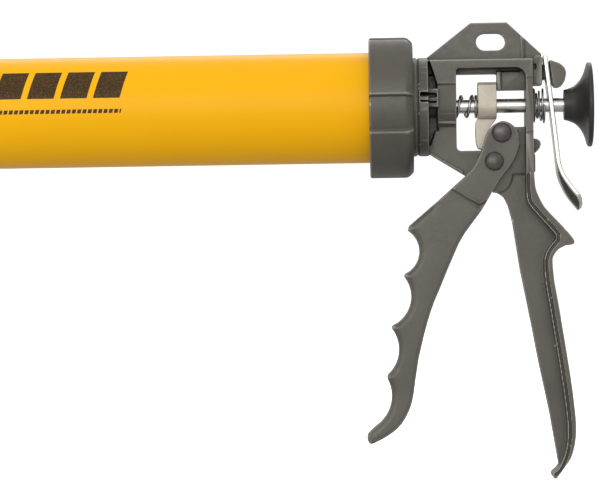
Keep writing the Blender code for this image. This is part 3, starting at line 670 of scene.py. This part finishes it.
def cut(mesh, cutters):
    """The mesh less each cutter."""
    obj = linked("blank", mesh)
    tools = [linked(f"cutter_{i}", cutter) for i, cutter in enumerate(cutters)]
    for tool in tools:
        modifier = obj.modifiers.new("cut", "BOOLEAN")
        modifier.operation = "DIFFERENCE"
        modifier.object = tool
    result = baked(obj)
    for tool in tools:
        bpy.data.objects.remove(tool, do_unlink=True)
    return result


# ---------------------------------------------------------------- barrel, rings and nozzle


def make_barrel(finish):
    """The lacquered tube, open at both ends."""
    front, rear, radius = span("barrel")
    profile = sleeve(rear, front, radius - BARREL_WALL, radius)
    mesh = mesh_of("barrel_tube", turned(rounded(profile, 0.35), 192))
    show("barrel_tube", mesh, "barrel", ["barrel"], finish)


def trim_between_pads(x, radius, angle):
    """The ring's outside, cut back between its four grip pads with a soft step at each pad's side."""
    off = abs((angle + RING_PAD_TURN) % 90 - 45)
    share = smooth_step((off - RING_PAD_ANGLE / 2) / RING_PAD_WALL)
    outside = smooth_step((radius - RING_INSIDE_R) / 1.2)
    return radius - RING_PAD_DEPTH * share * outside


def make_ring(name, node, body, way, hole_r, finish):
    """A screw ring with four grip pads, open towards the barrel; its end wall faces way along X."""
    front, rear, ring_r = span(node)
    wall_end, open_end = (rear, front) if way > 0 else (front, rear)
    bore = BARREL_R + GAP
    shelf = wall_end - way * (RING_WALL + BULKHEAD_THICK + GAP)
    inside = wall_end - way * RING_WALL
    profile = [
        (wall_end, hole_r, 0.4),
        (wall_end, ring_r - RING_EDGE, 1.0),
        (wall_end - way * RING_EDGE, ring_r, 1.6),
        (open_end, ring_r, 1.1),
        (open_end, bore, 0.3),
        (shelf, bore, 0.2),
        (shelf, BULKHEAD_R + GAP, 0.2),
        (inside, BULKHEAD_R + GAP, 0.2),
        (inside, hole_r, 0.2),
    ]
    mesh = mesh_of(name, turned(rounded(profile, steps=5), 360, trim_between_pads))
    show(name, mesh, body, [node], finish)


def make_nozzle(finish):
    """A moulded cone on a stepped base: five cut-off rings towards its tip, a flange inside the cap."""
    tip, rear, flange_r = span("nozzle")
    cap_front = span("front_cap")[0]
    base = cap_front - NOZZLE_BASE_LENGTH
    shoulder = cap_front - NOZZLE_SHOULDER_LENGTH
    throat = cap_front - NOZZLE_NECK_LENGTH

    def cone(x):
        share = (x - throat) / (tip - throat)
        return NOZZLE_NECK_R + (NOZZLE_TIP_R - NOZZLE_NECK_R) * share

    rings = []
    for i in range(NOZZLE_RINGS):
        x = tip + 62 - i * NOZZLE_RING_PITCH
        crest = cone(x) + NOZZLE_RING_HEIGHT
        rings += [(x, cone(x)), (x - 0.5, crest), (x - 1.3, crest), (x - 1.8, cone(x - 1.8))]
    profile = [
        (rear, NOZZLE_BASE_R - NOZZLE_WALL - 1),
        (rear, flange_r),
        (rear - NOZZLE_FLANGE, flange_r),
        (rear - NOZZLE_FLANGE, NOZZLE_BASE_R),
        (base, NOZZLE_BASE_R, 1.5),
        (shoulder, NOZZLE_SHOULDER_R, 1.5),
        (throat, NOZZLE_NECK_R, 2.0),
        *[(x, r, 0.25) for x, r in rings],
        (tip, NOZZLE_TIP_R, 0.3),
        (tip, NOZZLE_TIP_R - NOZZLE_WALL * 0.75, 0.3),
        (throat, NOZZLE_NECK_R - NOZZLE_WALL),
        (shoulder, NOZZLE_SHOULDER_R - NOZZLE_WALL),
        (base, NOZZLE_BASE_R - NOZZLE_WALL - 1),
    ]
    mesh = mesh_of("nozzle_cone", turned(rounded(profile, 0.4), 128))
    show("nozzle_cone", mesh, "nozzle", ["nozzle"], finish)


# ---------------------------------------------------------------- casting, trigger and dog


def make_casting(finish):
    """The one-piece body: its voxels are fine enough to keep the slit, the groove and the ribs."""
    mesh = thinned(cast_finish(welded_copy("body_casting"), 0.42, 2), 1.5)
    show("casting_shell", mesh, "body", ["body_casting"], finish)


def outer_walls(mesh, way):
    """The trigger's outline walls below the fork that face way along X, as a search tree."""
    bm = bmesh.new()
    bm.from_mesh(mesh)
    bmesh.ops.triangulate(bm, faces=bm.faces)
    bm.faces.ensure_lookup_table()
    walls = []
    for face in bm.faces:
        at = (face.calc_center_median() - DATUM) / MM
        spread = max(abs(vert.co.y) for vert in face.verts) / MM
        upright = abs(face.normal.y) < 0.5 and face.normal.x * way > 0
        if upright and spread > GRIP_HALF - 0.4 and at.z < FORK_FLOOR:
            walls.append([tuple(vert.co) for vert in face.verts])
    points = [point for wall in walls for point in wall]
    faces = [(3 * i, 3 * i + 1, 3 * i + 2) for i in range(len(walls))]
    bm.free()
    return BVHTree.FromPolygons(points, faces)


def crowned(mesh, walls, radius):
    """The sides fall away towards the walls, in a round of the given radius that fades out at the fork."""
    for vert in mesh.vertices:
        distance = walls.find_nearest(vert.co, radius * MM)[3]
        if distance is None:
            continue
        left = radius - distance / MM
        drop = radius - math.sqrt(max(0.0, radius**2 - left**2))
        fade = smooth_step((FORK_FLOOR - (vert.co.z - DATUM.z) / MM) / GRIP_ROUND_FADE)
        vert.co.y *= 1.0 - GRIP_ROUND_SHARE * fade * drop / GRIP_HALF


def make_trigger(finish):
    """The forked trigger, its grip rounded more at the finger grooves than at its back."""
    blank = welded_copy("trigger")
    front = outer_walls(blank, -1)
    rear = outer_walls(blank, 1)
    mesh = cast_finish(blank, 0.45, 2)
    crowned(mesh, front, GRIP_FRONT_ROUND)
    crowned(mesh, rear, GRIP_REAR_ROUND)
    mesh = thinned(mesh, 1.2)
    show("trigger_grip", mesh, "trigger", ["trigger"], finish)


def make_dog(finish):
    """The drive dog, a pressed block with small eased edges."""
    mesh = thinned(cast_finish(welded_copy("drive_dog"), 0.25, 3), 1.5)
    show("dog_block", mesh, "dog", ["drive_dog"], finish)


def make_rivets(finish):
    """Two rivets across the fork, with a domed head on each end of the shank."""
    seat = EAR_HALF + GAP
    for name, node, centre, shank_r, head_r in (
        ("fulcrum_pin", "fulcrum_rivet", FULCRUM, 3.0, 4.7),
        ("drive_pin", "drive_rivet", DRIVE_PIN, 2.5, 4.9),
    ):
        dome = [(seat, shank_r, 0.0), (seat, head_r, 0.25)]
        for i in range(1, 9):
            a = math.radians(90 * i / 9)
            dome.append((seat + HEAD_HEIGHT * math.sin(a), head_r * math.cos(a), 0.0))
        half = [*dome, (seat + HEAD_HEIGHT, 0)]
        profile = [(-x, r, *own) for x, r, *own in reversed(half)] + half
        mesh = mesh_of(name, across(turned(rounded(profile), 72), centre))
        show(name, mesh, "trigger", [node], finish)


def make_roller(finish):
    """The roller between the fork's ears that pushes the dog's leg."""
    profile = sleeve(-ROLLER_HALF, ROLLER_HALF, ROLLER_BORE_R, ROLLER_R)
    mesh = mesh_of("roller", across(turned(rounded(profile, 0.5), 96), DRIVE_PIN))
    show("roller", mesh, "roller", ["drive_roller"], finish)


# ---------------------------------------------------------------- rod, knob and piston stack


def make_rod(finish):
    """The push rod, its end eased at the piston."""
    front, rear, radius = span("push_rod")
    profile = [(front, 0), (front, radius, 0.8), (rear, radius, 0.3), (rear, 0)]
    mesh = mesh_of("rod", turned(rounded(profile), 96))
    show("rod", mesh, "rod", ["push_rod"], finish)


def make_knob(finish):
    """The trumpet-shaped pull knob, its face slightly dished round a raised boss."""
    front, rear, rim_r = span("pull_knob")
    bore = ROD_R + GAP
    blind = span("push_rod")[1] + GAP
    flare = curve_through([(front, 7.5), *KNOB_FLARE], 6)
    profile = [
        (blind, 0),
        (blind, bore, 0.1),
        (front, bore, 0.3),
        (*flare[0], 0.25),
        *[(x, r, 0.0) for x, r in flare[1:]],
        (KNOB_RIM_X, rim_r, 0.5),
        (rear - 0.2, rim_r, 0.8),
        (rear, rim_r - 2.0, 0.6),
        (rear - 0.9, rim_r - 3.6, 0.6),
        (rear - 0.9, 8.0, 0.6),
        (rear - 0.3, 6.6, 0.6),
        (rear - 0.3, 0),
    ]
    mesh = mesh_of("knob", turned(rounded(profile), 160))
    show("knob", mesh, "rod", ["pull_knob"], finish)


def hexagon(x, radius, angle):
    """A nut's outside, flat on six sides; its bore and the crowns of its faces stay round."""
    side = NUT_FLATS / 2 / math.cos(math.radians(angle % 60 - 30))
    return radius if radius < NUT_FLATS / 2 - 0.5 else min(radius, side)


def make_nuts(finish):
    """Two hexagon nuts, their corners chamfered at both ends and their bores countersunk."""
    corner = NUT_FLATS / math.sqrt(3)
    crown = NUT_FLATS / 2 - 0.1
    chamfer = (corner - crown) * 0.5
    bore = ROD_R + GAP
    for name, node in (("lock_nut_hex", "lock_nut"), ("back_nut_hex", "back_nut")):
        left, right, _ = span(node)
        profile = [
            (left, bore + 0.5),
            (left, crown),
            (left + chamfer, corner),
            (right - chamfer, corner),
            (right, crown),
            (right, bore + 0.5),
            (right - 0.5, bore),
            (left + 0.5, bore),
        ]
        mesh = mesh_of(name, turned(stepped(profile, 4), 144, hexagon), 25.0)
        show(name, mesh, "rod", [node], finish)


def make_discs(finish):
    """The washer and the backing plate on either side of the piston."""
    bore = ROD_R + GAP
    for name, node in (("washer", "piston_washer"), ("backing_plate", "piston_plate")):
        left, right, radius = span(node)
        profile = sleeve(left, right, bore, radius)
        mesh = mesh_of(name, turned(rounded(profile, 0.35), 128))
        show(name, mesh, "rod", [node], finish)


def make_piston(finish):
    """A moulded piston: dished front, thin sealing lip and a relief groove round it."""
    left, right, radius = span("piston")
    bore = ROD_R + GAP
    profile = [
        (left + 3.5, bore),
        (left + 3.0, 14.0, 3.0),
        (left, radius - 1.6),
        (left, radius, 0.3),
        (left + 3.5, radius - 0.5, 0.4),
        (left + 4.0, radius - 1.3, 0.4),
        (left + 6.0, radius - 1.3, 0.4),
        (left + 6.5, radius - 0.5, 0.4),
        (right, radius - 0.5, 0.6),
        (right, bore),
    ]
    mesh = mesh_of("piston_cup", turned(rounded(profile, 0.4), 160))
    show("piston_cup", mesh, "rod", ["piston"], finish)


# ---------------------------------------------------------------- release lever and springs


def make_lever(finish):
    """The bent strip: flat above with a rod hole and a window, its thumb tab dished and round-tipped."""
    line = [*LEVER_FLAT, *curve_through(list(LEVER_BEND), 9)]
    columns = 24
    bm = bmesh.new()
    rings = []
    for i, point in enumerate(line):
        a, b = line[max(i - 1, 0)], line[min(i + 1, len(line) - 1)]
        run = math.dist(a, b)
        normal = ((b[1] - a[1]) / run, -(b[0] - a[0]) / run)
        bend = smooth_step((LEVER_DISH_TOP - point[1]) / LEVER_DISH_RUN)
        share = min(1.0, (math.dist(point, line[-1]) + 0.5) / LEVER_TIP)
        half = LEVER_HALF * math.sqrt(1.0 - (1.0 - share) ** 2)
        front, back = [], []
        for k in range(columns + 1):
            y = -half + 2 * half * k / columns
            dish = LEVER_DISH * bend * (1.0 - (y / LEVER_HALF) ** 2)
            for row, offset in ((front, dish + LEVER_THICK / 2), (back, dish - LEVER_THICK / 2)):
                row.append(bm.verts.new((point[0] + normal[0] * offset, y, point[1] + normal[1] * offset)))
        rings.append([*front, *reversed(back)])
    for a, b in zip(rings, rings[1:]):
        for i in range(len(a)):
            j = (i + 1) % len(a)
            bm.faces.new([a[i], a[j], b[j], b[i]])
    for ring in (rings[0], rings[-1]):
        bm.faces.new(ring)
    strip = mesh_of("strip", bm)
    hole = mesh_of("hole", turned([(50, 0), (50, LEVER_HOLE_R), (80, LEVER_HOLE_R), (80, 0)], 64))
    window = bmesh.new()
    bmesh.ops.create_cube(window, size=1.0)
    for vert in window.verts:
        x, y, z = vert.co
        vert.co = (67.5 + 25 * x, 2 * WINDOW_HALF * y, WINDOW_MIDDLE + WINDOW_HEIGHT * z)
    blank = cut(strip, [hole, mesh_of("window", window)])
    mesh = thinned(cast_finish(blank, 0.3, 3), 0.4)
    show("lever_strip", mesh, "release_lever", ["release_lever"], finish)


def coil_tree():
    """A round-wire compression spring along X whose first and last turns lie flat, as a node tree."""
    tree = bpy.data.node_groups.new("coil_spring", "GeometryNodeTree")
    tree.is_modifier = True
    face = tree.interface
    inputs = ("Start", "End", "Start Radius", "End Radius", "Turns", "Flat Turns", "Wire Radius")
    for name in inputs:
        face.new_socket(name, in_out="INPUT", socket_type="NodeSocketFloat")
    face.new_socket("Finish", in_out="INPUT", socket_type="NodeSocketMaterial")
    face.new_socket("Geometry", in_out="OUTPUT", socket_type="NodeSocketGeometry")

    def node(kind, inputs=None, **settings):
        return new_node(tree, kind, inputs, **settings).outputs[0]

    def maths(operation, a, b=0.0, clamp=False):
        return node("ShaderNodeMath", {0: a, 1: b}, operation=operation, use_clamp=clamp)

    given = tree.nodes.new("NodeGroupInput").outputs
    line = node("GeometryNodeCurvePrimitiveLine")
    count = maths("MULTIPLY", given["Turns"], STEPS_PER_TURN)
    wire = node("GeometryNodeResampleCurve", {"Curve": line, "Count": count})
    share = tree.nodes.new("GeometryNodeSplineParameter").outputs["Factor"]
    turns_so_far = maths("MULTIPLY", share, given["Turns"])
    rising = maths("SUBTRACT", given["Turns"], maths("MULTIPLY", given["Flat Turns"], 2.0))
    rise = maths("DIVIDE", maths("SUBTRACT", turns_so_far, given["Flat Turns"]), rising, clamp=True)
    along = node("ShaderNodeMix", {0: rise, 2: given["Start"], 3: given["End"]})
    radius = node("ShaderNodeMix", {0: share, 2: given["Start Radius"], 3: given["End Radius"]})
    angle = maths("MULTIPLY", turns_so_far, 2 * math.pi)
    left = maths("MULTIPLY", maths("MULTIPLY", radius, maths("COSINE", angle)), -1.0)
    up = maths("MULTIPLY", radius, maths("SINE", angle))
    place = node("ShaderNodeCombineXYZ", {0: along, 1: left, 2: up})
    coil = node("GeometryNodeSetPosition", {"Geometry": wire, "Position": place})
    section = node("GeometryNodeCurvePrimitiveCircle", {"Resolution": 14, "Radius": given["Wire Radius"]})
    solid = node("GeometryNodeCurveToMesh", {"Curve": coil, "Profile Curve": section, "Fill Caps": True})
    real = node("GeometryNodeRealizeInstances", {"Geometry": solid})
    made = node("GeometryNodeSetMaterial", {"Geometry": real, "Material": given["Finish"]})
    tree.links.new(made, tree.nodes.new("NodeGroupOutput").inputs[0])
    return tree


def make_springs(finish):
    """Both compression springs, each coiled at one fixed length between its fixed end and the piece that it
    pushes, riding on the body.
    """
    tree = coil_tree()
    for name, node, sizes, joint, keep in (
        ("return_coil", "return_spring", RETURN_COIL, "dog_slide", 0.586),
        ("release_coil", "release_spring", RELEASE_COIL, "release_lever_tilt", 0.22),
    ):
        obj = linked(name, bpy.data.meshes.new(name))
        modifier = obj.modifiers.new("coil", "NODES")
        modifier.node_group = tree
        sockets = [item for item in tree.interface.items_tree if item.in_out == "INPUT"]
        for item, value in zip(sockets, [*sizes, finish]):
            modifier[item.identifier] = value
        mesh = baked(obj)
        for vert in mesh.vertices:
            vert.co = world_point(*vert.co)
        mesh.shade_smooth()
        mesh.set_sharp_from_angle(angle=math.radians(50))
        coil = show(name, mesh, "body", [node], finish)
        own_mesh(coil)


def main():
    make_camera()
    make_studio()
    coat = powder_coat()
    steel = bright_rod()
    zinc = zinc_plate()
    make_barrel(lacquer())
    make_ring("collar_ring", "rear_collar", "barrel", 1, COLLAR_HOLE_R, coat)
    make_ring("cap_ring", "front_cap", "front_cap", -1, CAP_HOLE_R, coat)
    make_nozzle(nozzle_plastic())
    make_casting(coat)
    make_trigger(coat)
    make_rivets(rivet_coat())
    make_roller(steel)
    make_dog(sintered_steel())
    make_rod(steel)
    make_knob(moulded_knob())
    make_nuts(zinc)
    make_discs(zinc)
    make_piston(piston_nylon())
    make_lever(plated_strip())
    make_springs(spring_wire())


main()
